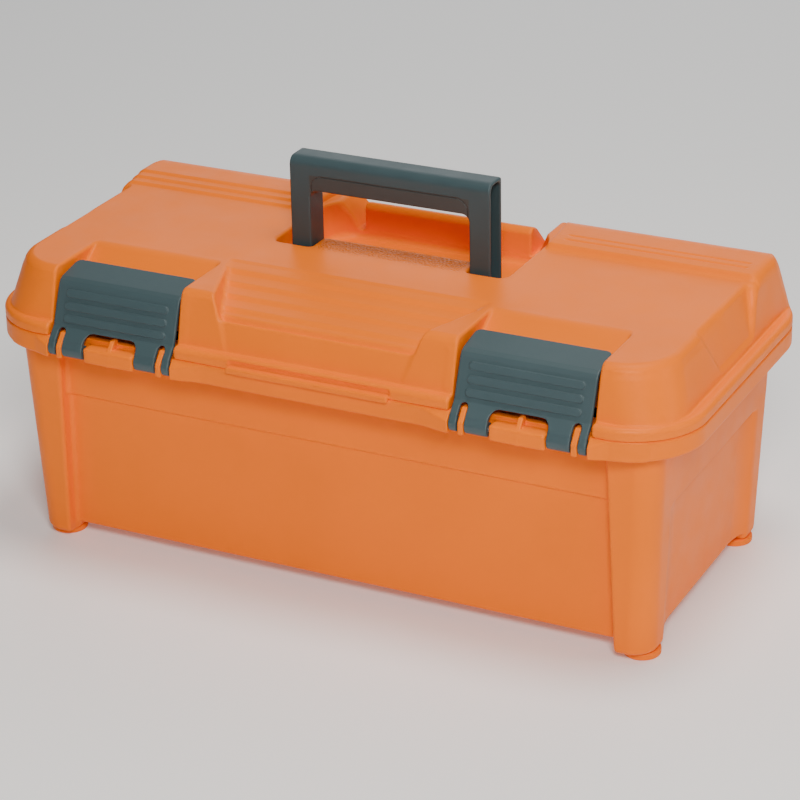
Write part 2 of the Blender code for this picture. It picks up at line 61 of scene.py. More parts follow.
TUB_HIGH = span_mm("tub")[1]
LATCH_LOW, LATCH_HIGH = span_mm("latch_right")
HANDLE_LOW, HANDLE_HIGH = span_mm("handle")
TRAY_LOW, TRAY_HIGH = span_mm("tray")
GRIP_LOW, GRIP_HIGH = span_mm("tray_handle")
FOOT_LOW, FOOT_HIGH = span_mm("foot_front_right")
PIN_LOW, PIN_HIGH = span_mm("latch_pin_right")
HINGE_LOW, HINGE_HIGH = span_mm("hinge_pin_right")
LEG_PIN_LOW, LEG_PIN_HIGH = span_mm("handle_pin_right")

# the tub's rim, and the lowest level of the lid
RIM_X = TUB_HIGH[0]
RIM_Y = 115.5
RIM_CORNER = 45.5
RIM_LOW = 139.0
RIM_TOP = 151.2
RIM_WALL = 3.0
PARTING = 151.5
LATCH_X = (LATCH_LOW[0] + LATCH_HIGH[0]) / 2
LATCH_HALF = (LATCH_HIGH[0] - LATCH_LOW[0]) / 2
POCKET_HALF = 44.0
HINGE_X = (HINGE_LOW[0] + HINGE_HIGH[0]) / 2
# the y and z of each axis, from the pin that runs along it
LATCH_AXIS = ((PIN_LOW[1] + PIN_HIGH[1]) / 2, (PIN_LOW[2] + PIN_HIGH[2]) / 2)
HINGE_AXIS = ((HINGE_LOW[1] + HINGE_HIGH[1]) / 2, (HINGE_LOW[2] + HINGE_HIGH[2]) / 2)
HANDLE_AXIS = ((LEG_PIN_LOW[1] + LEG_PIN_HIGH[1]) / 2, (LEG_PIN_LOW[2] + LEG_PIN_HIGH[2]) / 2)
HANDLE_HALF = HANDLE_HIGH[0]
LEG_HOLE_RADIUS = 2.8
FOOT_X = (FOOT_LOW[0] + FOOT_HIGH[0]) / 2
FOOT_Y = -(FOOT_LOW[1] + FOOT_HIGH[1]) / 2
FOOT_RADIUS = (FOOT_HIGH[0] - FOOT_LOW[0]) / 2


# ---- distance fields ----
def both(a, b, r=0.0):
    """Where a and b overlap; the edge between them is rounded to radius r."""
    if r <= 0:
        return np.maximum(a, b)
    return np.minimum(-r, np.maximum(a, b)) + np.hypot(np.maximum(r + a, 0), np.maximum(r + b, 0))


def either(a, b, r=0.0):
    """a and b joined; the corner between them is filled to radius r."""
    return -both(-a, -b, r)


def minus(a, b, r=0.0):
    """a with b cut away; the edge of the cut is rounded to radius r."""
    return both(a, -b, r)


def between(v, low, high):
    return np.maximum(low - v, v - high)


def rect(a, b, half_a, half_b, r):
    """A rectangle about the origin with its corners rounded to radius r."""
    qa = np.abs(a) - half_a + r
    qb = np.abs(b) - half_b + r
    return np.hypot(np.maximum(qa, 0), np.maximum(qb, 0)) + np.minimum(np.maximum(qa, qb), 0) - r


def block(x, y, z, low, high, r):
    """A box with all its edges rounded."""
    q = [np.abs(v - (lo + hi) / 2) - (hi - lo) / 2 + r for v, lo, hi in zip((x, y, z), low, high)]
    outside = np.sqrt(sum(np.maximum(v, 0) ** 2 for v in q))
    return outside + np.minimum(np.maximum(np.maximum(q[0], q[1]), q[2]), 0) - r


def rod(x, a, b, low, high, r, edge):
    """A round bar along x; a and b are measured from its axis."""
    return both(np.hypot(a, b) - r, between(x, low, high), edge)


def strip(a, b, points):
    """Distance to a line of straight runs in a plane."""
    best = None
    for (a0, b0), (a1, b1) in zip(points, points[1:]):
        da, db = a1 - a0, b1 - b0
        t = np.clip(((a - a0) * da + (b - b0) * db) / (da * da + db * db), 0, 1)
        d = np.hypot(a - a0 - t * da, b - b0 - t * db)
        best = d if best is None else np.minimum(best, d)
    return best


def smoothed(points, blur):
    """A profile through points with its corners softened; returns a function of the first coordinate."""
    samples = 5  # per length of blur
    reach = 3 * samples
    where = np.arange(points[0][0] - 6 * blur, points[-1][0] + 6 * blur, blur / samples)
    height = np.interp(where, [p[0] for p in points], [p[1] for p in points])
    weight = np.exp(-0.5 * (np.arange(-reach, reach + 1) / samples) ** 2)
    padded = np.concatenate([np.full(reach, height[0]), height, np.full(reach, height[-1])])
    height = np.convolve(padded, weight / weight.sum(), "valid")
    return lambda v: np.interp(v, where, height)


# ---- skinning ----
def lines(start, *runs):
    """Grid lines from start on; each run is (end, spacing)."""
    out = [float(start)]
    for end, step in runs:
        count = max(1, round((end - out[-1]) / step))
        out.extend(np.linspace(out[-1], end, count + 1)[1:])
    return np.array(out)


def mirrored(half):
    """Grid lines on both sides of 0, from lines that start at 0."""
    return np.concatenate([-half[:0:-1], half])


def nets(field, xs, ys, zs):
    """Vertices and quads of the field's zero surface."""
    grid = field(xs[:, None, None], ys[None, :, None], zs[None, None, :])
    grid = np.ascontiguousarray(np.broadcast_to(grid, (len(xs), len(ys), len(zs))))
    inside = grid < 0
    cells = np.array(grid.shape) - 1
    stride = np.array([cells[1] * cells[2], cells[2], 1])
    axes = (xs, ys, zs)
    corners, points = [], []
    for axis in range(3):
        one, two = [a for a in range(3) if a != axis]
        low, high = [slice(None)] * 3, [slice(None)] * 3
        low[axis], high[axis] = slice(None, -1), slice(1, None)
        at = np.argwhere(inside[tuple(low)] != inside[tuple(high)])
        kept = np.all([(at[:, k] > 0) & (at[:, k] < cells[k]) for k in (one, two)], axis=0)
        at = at[kept]
        up = at.copy()
        up[:, axis] += 1
        a, b = grid[tuple(at.T)].astype(float), grid[tuple(up.T)].astype(float)
        place = np.stack([axes[k][at[:, k]] for k in range(3)], 1)
        place[:, axis] += (axes[axis][up[:, axis]] - place[:, axis]) * a / (a - b)
        ring = []
        for du, dv in ((-1, -1), (0, -1), (0, 0), (-1, 0)):
            cell = at.copy()
            cell[:, one] += du
            cell[:, two] += dv
            ring.append(cell @ stride)
        quad = np.stack(ring, 1)
        turn = (a > 0) != (axis == 1)
        quad[turn] = quad[turn, ::-1]
        corners.append(quad)
        points.append(place)
    quads, points = np.concatenate(corners), np.concatenate(points)
    index = np.unique(quads.ravel(), return_inverse=True)[1]
    count = np.bincount(index)
    verts = np.stack([np.bincount(index, np.repeat(points[:, k], 4)) / count for k in range(3)], 1)
    return verts, index.reshape(-1, 4)


def gradient(field, p, h=0.12):
    """The field's slope at points p, from differences over h to each side."""
    g = np.empty_like(p)
    for k in range(3):
        step = np.zeros(3)
        step[k] = h
        g[:, k] = field(*(p + step).T) - field(*(p - step).T)
    return g / (2 * h)


def to_mesh(name, verts, faces):
    """A mesh of faces that all have the same number of sides."""
    mesh = bpy.data.meshes.new(name)
    mesh.vertices.add(len(verts))
    mesh.vertices.foreach_set("co", verts.astype(np.float32).ravel())
    sides = faces.shape[1]
    mesh.loops.add(faces.size)
    mesh.loops.foreach_set("vertex_index", faces.astype(np.int32).ravel())
    mesh.polygons.add(len(faces))
    mesh.polygons.foreach_set("loop_start", np.arange(0, faces.size, sides, dtype=np.int32))
    mesh.update(calc_edges=True)
    return mesh


LEAST_SQUARED_SLOPE = 0.25
FARTHEST_PUSH = 0.4


def skin(name, field, xs, ys, zs, triangles, body, slot, material, *nodes):
    """Add the field's surface as a piece that rides on body and replaces nodes.

    The mesh is thinned out to about so many triangles, moved back onto the surface and given the field's
    own normals.
    """
    verts, quads = nets(field, xs, ys, zs)
    mesh = to_mesh(name, verts, quads)
    piece = bpy.data.objects.new(name, mesh)
    bpy.context.scene.collection.objects.link(piece)
    if 2 * len(quads) > triangles:
        thin = piece.modifiers.new("thin", "DECIMATE")
        thin.ratio = triangles / (2 * len(quads))
        evaluated = piece.evaluated_get(bpy.context.evaluated_depsgraph_get())
        mesh = bpy.data.meshes.new_from_object(evaluated)
        piece.modifiers.clear()
        piece.data = mesh
    mesh.name = name
    p = np.empty(len(mesh.vertices) * 3, np.float32)
    mesh.vertices.foreach_get("co", p)
    p = p.reshape(-1, 3).astype(float)
    g = gradient(field, p)
    steep = np.maximum((g * g).sum(1), LEAST_SQUARED_SLOPE)
    push = np.clip(field(*p.T) / steep, -FARTHEST_PUSH, FARTHEST_PUSH)
    p -= g * push[:, None]
    normal = gradient(field, p)
    normal /= np.maximum(np.linalg.norm(normal, axis=1), 1e-6)[:, None]
    mesh.vertices.foreach_set("co", (p * MM).astype(np.float32).ravel())
    mesh.polygons.foreach_set("use_smooth", np.ones(len(mesh.polygons), bool))
    mesh.update()
    mesh.normals_split_custom_set_from_vertices(normal.astype(np.float32))
    mesh.materials.append(material)
    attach(piece, body)
    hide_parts(*nodes)
    print(f"{name}: {len(mesh.polygons)} faces")


# ---- materials ----
def new_material(name):
    material = bpy.data.materials.new(name)
    material.use_nodes = True
    return material, material.node_tree, material.node_tree.nodes["Principled BSDF"]


def faded(tree, value, start, end):
    """0 where value is start and 1 where it is end; value is metres, start and end are millimetres."""
    node = tree.nodes.new("ShaderNodeMapRange")
    node.inputs["From Min"].default_value = start * MM
    node.inputs["From Max"].default_value = end * MM
    tree.links.new(value, node.inputs["Value"])
    return node.outputs["Result"]


def product(tree, a, b):
    node = tree.nodes.new("ShaderNodeMath")
    node.operation = "MULTIPLY"
    tree.links.new(a, node.inputs[0])
    tree.links.new(b, node.inputs[1])
    return node.outputs["Value"]


def moulded(name, colour, roughness, gloss, grain, depth, marks=None):
    """Moulded plastic: a fine pebbled grain, slow changes of tone and a little wear in the gloss."""
    material, tree, shader = new_material(name)
    where = tree.nodes.new("ShaderNodeTexCoord")

    def noise(scale, detail):
        node = tree.nodes.new("ShaderNodeTexNoise")
        node.inputs["Scale"].default_value = scale
        node.inputs["Detail"].default_value = detail
        tree.links.new(where.outputs["Object"], node.inputs["Vector"])
        return node.outputs["Fac"]

    def ranged(value, low, high):
        node = tree.nodes.new("ShaderNodeMapRange")
        node.inputs["From Min"].default_value = 0.3
        node.inputs["From Max"].default_value = 0.7
        node.inputs["To Min"].default_value = low
        node.inputs["To Max"].default_value = high
        tree.links.new(value, node.inputs["Value"])
        return node.outputs["Result"]

    tone = tree.nodes.new("ShaderNodeHueSaturation")
    tone.inputs["Color"].default_value = (*colour, 1.0)
    tree.links.new(ranged(noise(14.0, 3.0), 0.965, 1.035), tone.inputs["Value"])
    tree.links.new(tone.outputs["Color"], shader.inputs["Base Color"])
    tree.links.new(ranged(noise(55.0, 4.0), roughness - 0.05, roughness + 0.05), shader.inputs["Roughness"])
    bump = tree.nodes.new("ShaderNodeBump")
    bump.inputs["Distance"].default_value = depth
    bump.inputs["Strength"].default_value = 0.55
    tree.links.new(noise(grain, 2.0), bump.inputs["Height"])
    tree.links.new(bump.outputs["Normal"], shader.inputs["Normal"])
    shader.inputs["IOR"].default_value = 1.47
    shader.inputs["Specular IOR Level"].default_value = gloss
    if marks:
        marks(tree, shader, tone, where)
    return material


def textured_strip(tree, shader, tone, where):
    """A pebbled strip on the lid between the handle's legs."""
    split = tree.nodes.new("ShaderNodeSeparateXYZ")
    tree.links.new(where.outputs["Object"], split.inputs["Vector"])
    x, y, z = split.outputs["X"], split.outputs["Y"], split.outputs["Z"]
    along = product(tree, faded(tree, x, -49.5, -48.0), faded(tree, x, 49.5, 48.0))
    across = product(tree, faded(tree, y, -12.5, -8.0), faded(tree, y, 6.6, 6.0))
    mask = product(tree, product(tree, along, across), faded(tree, z, 190.2, 190.8))
    pebbles = tree.nodes.new("ShaderNodeTexVoronoi")
    pebbles.inputs["Scale"].default_value = 620.0
    tree.links.new(where.outputs["Object"], pebbles.inputs["Vector"])
    bump = tree.nodes.new("ShaderNodeBump")
    bump.inputs["Distance"].default_value = 0.0012
    tree.links.new(mask, bump.inputs["Strength"])
    tree.links.new(pebbles.outputs["Distance"], bump.inputs["Height"])
    tree.links.new(shader.inputs["Normal"].links[0].from_socket, bump.inputs["Normal"])
    tree.links.new(bump.outputs["Normal"], shader.inputs["Normal"])


def drawn_steel(name):
    """Steel rod with fine scratches along it."""
    material, tree, shader = new_material(name)
    shader.inputs["Metallic"].default_value = 1.0
    shader.inputs["Base Color"].default_value = (0.55, 0.56, 0.58, 1.0)
    where = tree.nodes.new("ShaderNodeTexCoord")
    stretch = tree.nodes.new("ShaderNodeMapping")
    stretch.inputs["Scale"].default_value = (40.0, 2500.0, 2500.0)
    tree.links.new(where.outputs["Object"], stretch.inputs["Vector"])
    noise = tree.nodes.new("ShaderNodeTexNoise")
    noise.inputs["Scale"].default_value = 1.0
    tree.links.new(stretch.outputs["Vector"], noise.inputs["Vector"])
    gloss = tree.nodes.new("ShaderNodeMapRange")
    gloss.inputs["To Min"].default_value = 0.22
    gloss.inputs["To Max"].default_value = 0.42
    tree.links.new(noise.outputs["Fac"], gloss.inputs["Value"])
    tree.links.new(gloss.outputs["Result"], shader.inputs["Roughness"])
    return material


def two_tone(tree, shader, tone, where):
    """The handle's grip is darker and browner below its moulded line."""
    split = tree.nodes.new("ShaderNodeSeparateXYZ")
    tree.links.new(where.outputs["Object"], split.inputs["Vector"])
    below = faded(tree, split.outputs["Z"], GRIP_LINE_Z + 0.2, GRIP_LINE_Z - 0.4)
    aside = tree.nodes.new("ShaderNodeMath")
    aside.operation = "ABSOLUTE"
    tree.links.new(split.outputs["X"], aside.inputs[0])
    within = faded(tree, aside.outputs["Value"], HANDLE_INNER + 0.6, HANDLE_INNER - 0.6)
    mix = tree.nodes.new("ShaderNodeMix")
    mix.data_type = "RGBA"
    tree.links.new(product(tree, below, within), mix.inputs["Factor"])
    colour_a = [s for s in mix.inputs if s.name == "A" and s.type == "RGBA"][0]
    colour_b = [s for s in mix.inputs if s.name == "B" and s.type == "RGBA"][0]
    colour_b.default_value = (*GRIP_GREY, 1.0)
    tree.links.new(tone.outputs["Color"], colour_a)
    result = [s for s in mix.outputs if s.type == "RGBA"][0]
    tree.links.new(result, shader.inputs["Base Color"])


ORANGE = (1.0, 0.195, 0.0)
SLATE = (0.050, 0.084, 0.096)
SLATE_DARK = (0.041, 0.071, 0.082)
GRIP_GREY = (0.048, 0.053, 0.053)
CHARCOAL = (0.040, 0.045, 0.050)
GRIP_LINE_Z = 236.8
HANDLE_INNER = 53.8

orange = moulded("orange_plastic", ORANGE, 0.40, 0.15, 900.0, 0.00010)
orange_lid = moulded("orange_lid", ORANGE, 0.40, 0.15, 900.0, 0.00010, textured_strip)
slate = moulded("slate_plastic", SLATE, 0.46, 0.45, 1000.0, 0.00008)
slate_handle = moulded("slate_handle", SLATE_DARK, 0.46, 0.45, 1000.0, 0.00008, two_tone)
charcoal = moulded("charcoal_plastic", CHARCOAL, 0.55, 0.4, 800.0, 0.00010)
steel = drawn_steel("steel")


# ---- tub ----
# the core's half length and half width at height CORE_Z; it widens upwards by DRAFT
CORE_HALF = (209.3, 97.0)
CORE_Z = 15.4
DRAFT = 0.0368
POST_LOW = 5.0
FLOOR_LOW = 9.5
PANEL_STEP_Z = 102.0
LONG_PANEL = smoothed([(0.0, 87.2), (8.0, 87.4), (PANEL_STEP_Z - 0.7, 89.9), (PANEL_STEP_Z + 0.9, 92.3),
                       (150.0, 94.0)], 0.4)
END_PANEL_TOP = 97.0
CAVITY_FLOOR = 12.0
CAVITY_HALF = (200.5, 84.4)
# the ledges that carry the tray: inner end in x, half width in y, underside and top
LEDGE_INNER, LEDGE_HALF_Y, LEDGE_LOW, LEDGE_TOP = 188.0, 50.0, 97.0, 104.0
BAY_BACK = 109.5
LUG_FRONT = -119.2
LUG_BACK = -107.5
LUG_LOW = RIM_LOW + 0.3
LUG_TOP = 154.5
# a latch's slots and the tub's outer lugs stand this far from the latch's middle
SLOT_X = 35.0
# the tub's rear hinge knuckles: inner and outer end from the hinge's middle, radius
TUB_KNUCKLE = (14.1, 25.9, 4.4)


def latch_lugs(x, y, z):
    """The bar, the ribs and the catch that stand on the tub inside a latch; x is from the latch's middle."""
    wall = block(x, y, z, (-47.0, -BAY_BACK, RIM_LOW + 0.1), (47.0, -BAY_BACK + 3.2, 149.6), 0.8)
    bar = block(x, y, z, (-17.4, LUG_FRONT, LUG_LOW), (17.4, LUG_BACK, 149.0), 1.6)
    lean = ((z - 147.0) * 6.7 - (y - LUG_FRONT) * 7.5) / math.hypot(6.7, 7.5)
    rib = both(block(x, y, z, (-1.6, LUG_FRONT, LUG_LOW), (1.6, LUG_BACK, LUG_TOP), 0.9), lean, 0.8)
    side = np.abs(x) - SLOT_X
    outer = both(block(side, y, z, (-1.9, LUG_FRONT, LUG_LOW), (1.9, LUG_BACK, LUG_TOP), 0.9), lean, 0.8)
    catch = block(x, y, z, (-17.4, -103.0, 147.0), (17.4, -90.0, 157.0), 1.2)
    return either(either(either(wall, bar, 0.8), rib, 0.6), np.minimum(outer, catch), 0.6)


def wedge(x, y, z):
    """The rim swells out to meet each latch, further along towards the middle than towards the corner."""
    off = np.abs(x) - LATCH_X
    swell = 3.7 * np.clip(1 - (np.abs(off) - POCKET_HALF) / np.where(off < 0, 19.0, 11.0), 0, 1)
    out = rect(x, y, RIM_X, RIM_Y, RIM_CORNER)
    slope = 1.25
    top = (z - RIM_TOP + slope * np.maximum(out, 0)) / math.hypot(1, slope)
    return both(both(np.maximum(out - swell, y + 108.0), RIM_LOW - z, 1.0), top, 0.5)


def tub_field(x, y, z):
    ax, ay = np.abs(x), np.abs(y)
    grow = DRAFT * (z - CORE_Z)
    core = both(rect(ax, ay, CORE_HALF[0] + grow, CORE_HALF[1] + grow, 15.0), POST_LOW - z, 4.0)
    post_x = 182.2 + (129.0 - z) * 0.0365
    long_cut = both(ax - post_x, LONG_PANEL(z) - ay, 3.0)
    core = minus(core, long_cut, 2.2)
    panel = 204.0 + 3.2 * (z - 9.0) / 88.0
    end_cut = both(panel - ax, (panel + 0.47 * (ay - 62.0) - ax) * 0.905, 4.0)
    core = minus(core, both(end_cut, z - END_PANEL_TOP, 3.0), 1.0)
    below = both(z - FLOOR_LOW, -both(185.5 - ax, 70.0 - ay, 2.0), 2.5)
    core = both(minus(core, below, 2.5), z - 150.0)
    rim = both(rect(x, y, RIM_X, RIM_Y, RIM_CORNER), between(z, RIM_LOW, RIM_TOP), 1.7)
    rim = either(rim, wedge(x, y, z), 0.8)
    hollow = both(rect(x, y, RIM_X - RIM_WALL, RIM_Y - RIM_WALL, RIM_CORNER - RIM_WALL),
                  z - (RIM_TOP - RIM_WALL), 1.5)
    body = either(minus(rim, hollow, 0.7), core, 2.5)
    up = z - CAVITY_FLOOR
    cavity = rect(ax, ay, CAVITY_HALF[0] + up * 0.0395, CAVITY_HALF[1] + up * 0.0316, 12.0)
    body = minus(body, both(cavity, -up, 5.0), 0.9)
    ledge = both(between(ax, LEDGE_INNER, 207.0), ay - LEDGE_HALF_Y, 2.0)
    body = either(body, both(ledge, between(z, LEDGE_LOW, LEDGE_TOP), 1.2), 1.2)
    bay = np.maximum(y + BAY_BACK, between(z, RIM_LOW - 2, RIM_TOP + 2))
    body = minus(body, np.maximum(np.abs(ax - LATCH_X) - (LATCH_HALF + 0.5), bay), 0.6)
    body = either(body, latch_lugs(ax - LATCH_X, y, z), 0.6)
    near = np.abs(ax - HINGE_X)
    a, b = y - HINGE_AXIS[0], z - HINGE_AXIS[1]
    inner, outer, radius = TUB_KNUCKLE
    web = block(near, y, z, (inner, 106.0, RIM_LOW + 0.5), (outer, HINGE_AXIS[0] + 1.0, HINGE_AXIS[1]), 1.0)
    body = either(body, np.minimum(rod(near, a, b, inner, outer, radius, 0.7), web), 1.0)
    return minus(body, rod(near, a, b, -1.0, 14.0, 5.0, 0.3), 0.3)


skin("tub_body", tub_field,
     mirrored(lines(0, (84, 4.0), (88, 1.3), (92, 0.8), (97, 1.2), (100, 1.0), (104, 1.3), (115, 2.6),
                    (119, 0.8), (132, 3.2), (138, 0.7), (151, 3.0), (155, 0.8), (166, 2.6), (180, 0.9),
                    (235, 1.0))),
     lines(-122, (-105, 0.75), (-84, 1.0), (-52, 3.2), (-46, 1.1), (46, 4.0), (52, 1.1), (58, 1.5),
           (78, 1.0), (84, 1.5), (105, 1.0), (122, 0.85)),
     lines(3, (17, 1.1), (93, 3.0), (108, 0.8), (136, 3.0), (158.5, 0.6)),
     170000, "tub", "orange_plastic", orange, "tub")


# ---- lid ----
LIP_TOP = 159.3
LID_TOP = 191.5
RIDGE_TOP = 196.0
LID_WALL = 2.8
# profiles as (y, z): the centre stairs, and the ridges along the back
STAIRS = smoothed([(-106.0, 176.7), (-102.8, 176.2), (-100.8, 174.3), (-98.2, 178.1), (-94.2, 178.7),
                   (-91.8, 180.7), (-82.4, 181.7), (-80.0, 183.7), (-71.2, 184.8), (-68.8, 186.8),
                   (-59.6, 187.9), (-57.2, 189.9), (-49.0, 191.3), (-46.5, 192.6), (-30.0, 215.0)], 0.45)
PLAIN_RIDGE = smoothed([(40.0, 189.0), (44.0, 191.0), (47.5, 195.0), (54.0, 195.7), (60.4, 196.0),
                        (110.0, 196.0)], 0.45)
LEFT_RIDGE = smoothed([(40.0, 189.0), (44.2, 191.0), (45.8, 192.9), (51.5, 193.2), (53.1, 194.5),
                       (59.0, 194.7), (60.6, 196.0), (110.0, 196.0)], 0.45)
RIGHT_RIDGE = smoothed([(40.0, 189.0), (44.0, 191.0), (47.5, 195.0), (54.0, 195.7), (54.5, 194.8),
                        (55.6, 194.8), (56.1, 195.8), (60.4, 196.0), (60.9, 195.1), (62.0, 195.1),
                        (62.5, 196.0), (110.0, 196.0)], 0.28)
GROOVE_MIDDLE, GROOVE_HALF = 149.5, 60.0
PLATFORM_X = 52.5
PLATFORM_BACK = 8.6
# the handle's recess: half width in x, front and back in y, floor
RECESS_HALF, RECESS_FRONT, RECESS_BACK, RECESS_FLOOR = 79.0, -9.0, 76.0, 166.0
# the notches beside its back wall: inner and outer side in x, floor
NOTCH_INNER, NOTCH_OUTER, NOTCH_FLOOR = 58.5, 62.0, 171.5
# the latch pockets' back wall in y, and the height where it starts to slope
POCKET_BACK, POCKET_WALL_TOP = -79.0, 176.4
DENT_LOW = 164.0
BACK_WALL_TOP = 189.6


def ridges(x, y, z):
    """The raised band along the lid's back, stepped on the left and grooved on the right."""
    ax = np.abs(x)
    fade = np.clip(1 - np.abs(x - GROOVE_MIDDLE) / GROOVE_HALF, 0, 0.05) / 0.05
    right = PLAIN_RIDGE(y) + (RIGHT_RIDGE(y) - PLAIN_RIDGE(y)) * fade
    top = np.where(x < 0, LEFT_RIDGE(y), right)
    inner = 81.2 - 2.2 * np.clip((y - 60.0) / 22.0, 0, 1)
    return both(between(ax, inner, 225.0), (z - top) * 0.95, 3.0)


def lid_shell(x, y, z):
    """The lid's outer surface, open below."""
    ax = np.abs(x)
    t = (z - 160.0) / 31.5
    front, rear = -109.0 + 7.5 * t, 109.0 - 12.0 * t
    steeper = np.clip((y + 12.0) / 24.0, 0, 1)
    half_x = 223.5 - (9.0 - 4.5 * steeper) * t
    middle, half_y = (front + rear) / 2, (rear - front) / 2
    wall = np.where(y < 0, rect(ax, y - middle, half_x, half_y, 32.0),
                    rect(ax, y - middle, half_x, half_y, 22.0))
    top = z - LID_TOP
    shell = both(wall, top, 4.5)
    shell = either(shell, both(ridges(x, y, z), wall, 6.0), 1.2)
    return both(shell, both((y - rear) * 0.93, z - RIDGE_TOP, 17.0))


def lid_outer(x, y, z):
    ax = np.abs(x)
    shell = lid_shell(x, y, z)
    # the sloped stairs between the two front blocks
    side = (ax - (67.5 + 0.35 * np.maximum(y + 103.0, 0) + 0.3 * (z - 188.0))) * 0.9
    face = -(103.9 + (176.0 - z) * 0.32) - y
    remain = both((z - STAIRS(y)) * 0.93, face * 0.95, 1.3)
    shell = minus(shell, both(side, -remain, 3.0), 1.8)
    # the pockets behind the latches
    u = np.abs(ax - LATCH_X)
    slope = ((z - POCKET_WALL_TOP) - (y - POCKET_BACK) * 0.629) * 0.846
    pocket = both(u - POCKET_HALF, -both(slope, POCKET_BACK - y, 3.0), 2.0)
    # the shallow dents in both ends
    up = z - DENT_LOW
    rear, front = 28.0 + up * 0.48, -26.0 - up * 0.565
    dent = both(221.5 - 0.30 * up - ax, np.maximum(y - rear, front - y) * 0.87, 3.0)
    shell = minus(shell, both(dent, -up, 1.5), 3.2)
    # the lip with its bead and the long finger groove
    lip = both(rect(x, y, RIM_X, RIM_Y, RIM_CORNER), z - LIP_TOP, 3.6)
    shell = either(lip, shell, 1.0)
    groove = both(np.hypot(y + 117.6, z - 155.4) - 3.4, ax - 53.5, 1.5)
    shell = minus(shell, groove, 0.6)
    shell = minus(shell, pocket, 1.8)
    # the handle's recess with the platform and the two notches
    recess = rect(x, y - (RECESS_FRONT + RECESS_BACK) / 2, RECESS_HALF, (RECESS_BACK - RECESS_FRONT) / 2, 6.0)
    recess = both(recess, RECESS_FLOOR - z, 4.0)
    recess = both(recess, (ax - RECESS_HALF) * 0.8 + (y - 59.0) * 0.6, 5.0)
    recess = minus(recess, both(ax - PLATFORM_X, y - PLATFORM_BACK, 3.0), 2.5)
    flare = (ax - NOTCH_OUTER - 0.52 * (z - NOTCH_FLOOR)) * 0.887
    notch = both(both(np.maximum(NOTCH_INNER - ax, flare), 60.0 - y, 1.0), NOTCH_FLOOR - z, 2.0)
    shell = minus(shell, either(recess, notch, 2.0), 1.9)
    # the low wall behind the recess
    crown = both(both(z - BACK_WALL_TOP, 76.0 - y, 5.0), (y - 84.0 + z - BACK_WALL_TOP) * 0.707, 4.0)
    crown = both(crown, ax - 59.0, 2.5)
    low_part = np.maximum(np.maximum(74.0 - y, ax - 61.0), NOTCH_FLOOR - z)
    return minus(shell, both(low_part, -crown, 0.5), 0.3)


THUMB_HALF, THUMB_FRONT, THUMB_TOP = 53.3, -119.2, 154.1
# the lid's rear hinge knuckles: half length, radius
LID_KNUCKLE_HALF, LID_KNUCKLE_RADIUS = 13.4, 4.4


def lid_field(x, y, z):
    """The lid hollowed to its wall, with the thumb bar in front and the hinge knuckles behind."""
    ax = np.abs(x)
    outer = lid_outer(x, y, z)
    body = both(both(outer, PARTING - z, 1.2), -(outer + LID_WALL), 0.5)
    bar = block(x, y, z, (-THUMB_HALF, THUMB_FRONT, 150.2), (THUMB_HALF, -RIM_Y - 0.15, THUMB_TOP), 1.0)
    foot = block(x, y, z, (-THUMB_HALF, THUMB_FRONT, PARTING + 0.05), (THUMB_HALF, -112.5, THUMB_TOP), 1.0)
    body = either(body, np.minimum(bar, foot), 0.3)
    near = np.abs(ax - HINGE_X)
    a, b = y - HINGE_AXIS[0], z - HINGE_AXIS[1]
    half = LID_KNUCKLE_HALF
    web = block(near, y, z, (-half, 106.0, PARTING + 0.1), (half, HINGE_AXIS[0] + 1.0, 158.0), 1.0)
    body = either(body, np.minimum(rod(near, a, b, -half, half, LID_KNUCKLE_RADIUS, 0.7), web), 1.0)
    body = minus(body, rod(near - 20.0, a, b, -6.4, 6.4, 5.0, 0.3), 0.3)
    pin = rod(ax, y - HANDLE_AXIS[0], z - HANDLE_AXIS[1], 43.7, 56.0, LEG_HOLE_RADIUS, 0.1)
    return minus(body, pin)


skin("lid_body", lid_field,
     mirrored(lines(0, (48, 3.0), (96, 0.9), (122, 2.6), (138, 1.6), (160, 1.6), (174, 1.0), (183, 0.8),
                    (200, 1.5), (235, 0.95))),
     lines(-122, (-92, 0.7), (-50, 0.8), (-45, 1.0), (-36, 1.5), (-12, 2.2), (12, 0.9), (22, 2.0), (42, 1.0),
           (64, 0.5), (98, 0.9), (122, 0.85)),
     lines(146.5, (162, 0.6), (172, 0.9), (178, 0.7), (198, 0.75)),
     190000, "lid", "orange_plastic", orange_lid, "lid")


# ---- latches ----
# the middle of the plate's thickness as (y, z)
PLATE = [(-117.9, 146.4), (-116.4, 150.4), (-110.2, 157.0), (-101.2, 180.6), (-99.9, 182.6), (-97.6, 183.9),
         (-79.4, 187.6)]
PLATE_HALF_THICK = 1.35
# where the ribbed part of the plate starts as (y, z), and the way it runs
RIB_START = (-111.3, 157.0)
RIB_RUN = (10.6, 27.5)


